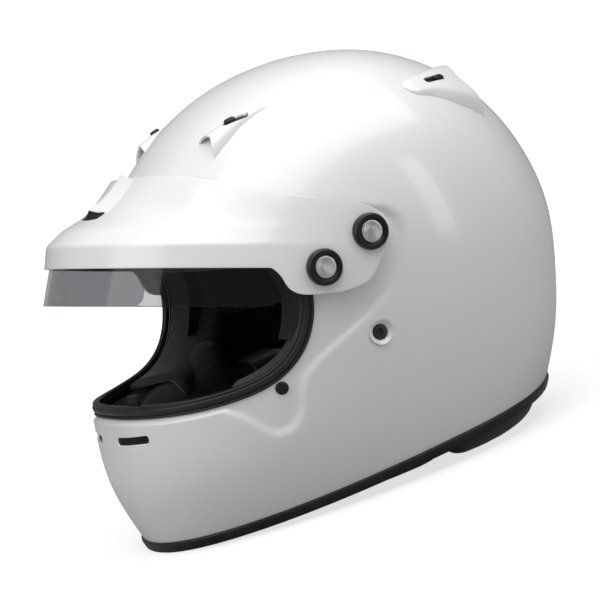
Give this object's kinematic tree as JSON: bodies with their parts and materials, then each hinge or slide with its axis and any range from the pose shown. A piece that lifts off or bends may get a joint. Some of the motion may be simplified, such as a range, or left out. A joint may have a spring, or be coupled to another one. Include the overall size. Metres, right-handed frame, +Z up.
{
  "type": "full-face car racing helmet with peak",
  "caption": "Full-face car racing helmet with tilting peak, smoked shade strip, vent sliders, lined interior and neck roll.",
  "frame": {"origin": "middle of the resting base, on the surface that the helmet stands on", "axes": "+Z up, the face looks along -Y, the wearer's left is +X"},
  "size_m": [0.2728, 0.3042, 0.249],
  "materials": {
    "shell_paint": "gloss white lacquer",
    "black_rubber": "satin moulded rubber",
    "trim_rubber": "satin extruded rubber",
    "liner_foam": "beaded foam, charcoal",
    "lining_fabric": "brushed knit fabric",
    "pad_mesh": "open woven mesh fabric",
    "roll_fabric": "fine matt fabric",
    "peak_paint": "gloss white moulded plastic",
    "smoke_shade": "smoked transparent plastic",
    "black_nylon": "satin black nylon",
    "brushed_aluminium": "brushed discs",
    "zinc_steel": "zinc plated",
    "black_steel": "black oxide",
    "plug_rubber": "soft rubber",
    "screen_wire": "fine black wire mesh",
    "duct_paint": "gloss white moulded plastic",
    "slider_plastic": "satin black plastic",
    "strap_webbing": "woven webbing",
    "ring_steel": "polished rings"
  },
  "bodies": {
    "helmet": {"outer_shell": "shell_paint", "eyeport_seal": "black_rubber", "edge_trim": "trim_rubber", "impact_liner": "liner_foam", "chin_liner": "liner_foam", "crown_pad": "lining_fabric", "cheek_pad_left": "pad_mesh", "cheek_pad_right": "pad_mesh", "neck_roll": "roll_fabric", "peak_collars": "black_nylon", "peak_screws": "brushed_aluminium", "peak_inserts": "zinc_steel", "anchor_inserts": "zinc_steel", "anchor_screws": "black_steel", "shield_plugs": "plug_rubber", "chin_vent_screens": "screen_wire", "front_duct_left": "duct_paint", "front_duct_right": "duct_paint", "rear_duct_left": "duct_paint", "rear_duct_right": "duct_paint", "strap_hangers": "zinc_steel", "strap_left": "strap_webbing", "strap_right": "strap_webbing", "strap_snap": "ring_steel"},
    "peak_unit": {"peak": "peak_paint", "peak_shade": "smoke_shade"},
    "front_left_slide": {"front_slider_left": "slider_plastic"},
    "front_right_slide": {"front_slider_right": "slider_plastic"},
    "rear_left_slide": {"rear_slider_left": "slider_plastic"},
    "rear_right_slide": {"rear_slider_right": "slider_plastic"},
    "chin_shutter": {"chin_vent_shutter": "black_nylon"},
    "ring_pair": {"strap_rings": "ring_steel"}
  },
  "joints": [
    {"name": "peak_tilt", "type": "hinge", "parent": "helmet", "child": "peak_unit", "pos_m": [0, -0.00122, 0.14828], "axis": [1, 0, 0], "range_deg": [0, 12]},
    {"name": "front_left_vent", "type": "slide", "parent": "helmet", "child": "front_left_slide", "axis": [0.336, 0.9347, 0.1158], "range_m": [0, 0.007]},
    {"name": "front_right_vent", "type": "slide", "parent": "helmet", "child": "front_right_slide", "axis": [-0.336, 0.9347, 0.1158], "range_m": [0, 0.007]},
    {"name": "rear_left_vent", "type": "slide", "parent": "helmet", "child": "rear_left_slide", "axis": [0.3659, -0.9231, 0.1182], "range_m": [0, 0.007]},
    {"name": "rear_right_vent", "type": "slide", "parent": "helmet", "child": "rear_right_slide", "axis": [-0.3659, -0.9231, 0.1182], "range_m": [0, 0.007]},
    {"name": "chin_vent", "type": "slide", "parent": "helmet", "child": "chin_shutter", "axis": [0, 0, -1], "range_m": [0, 0.008]},
    {"name": "ring_swing", "type": "hinge", "parent": "helmet", "child": "ring_pair", "pos_m": [0.0522, -0.01398, 0.0305], "axis": [0, 1, 0], "range_deg": [0, 40]}
  ]
}
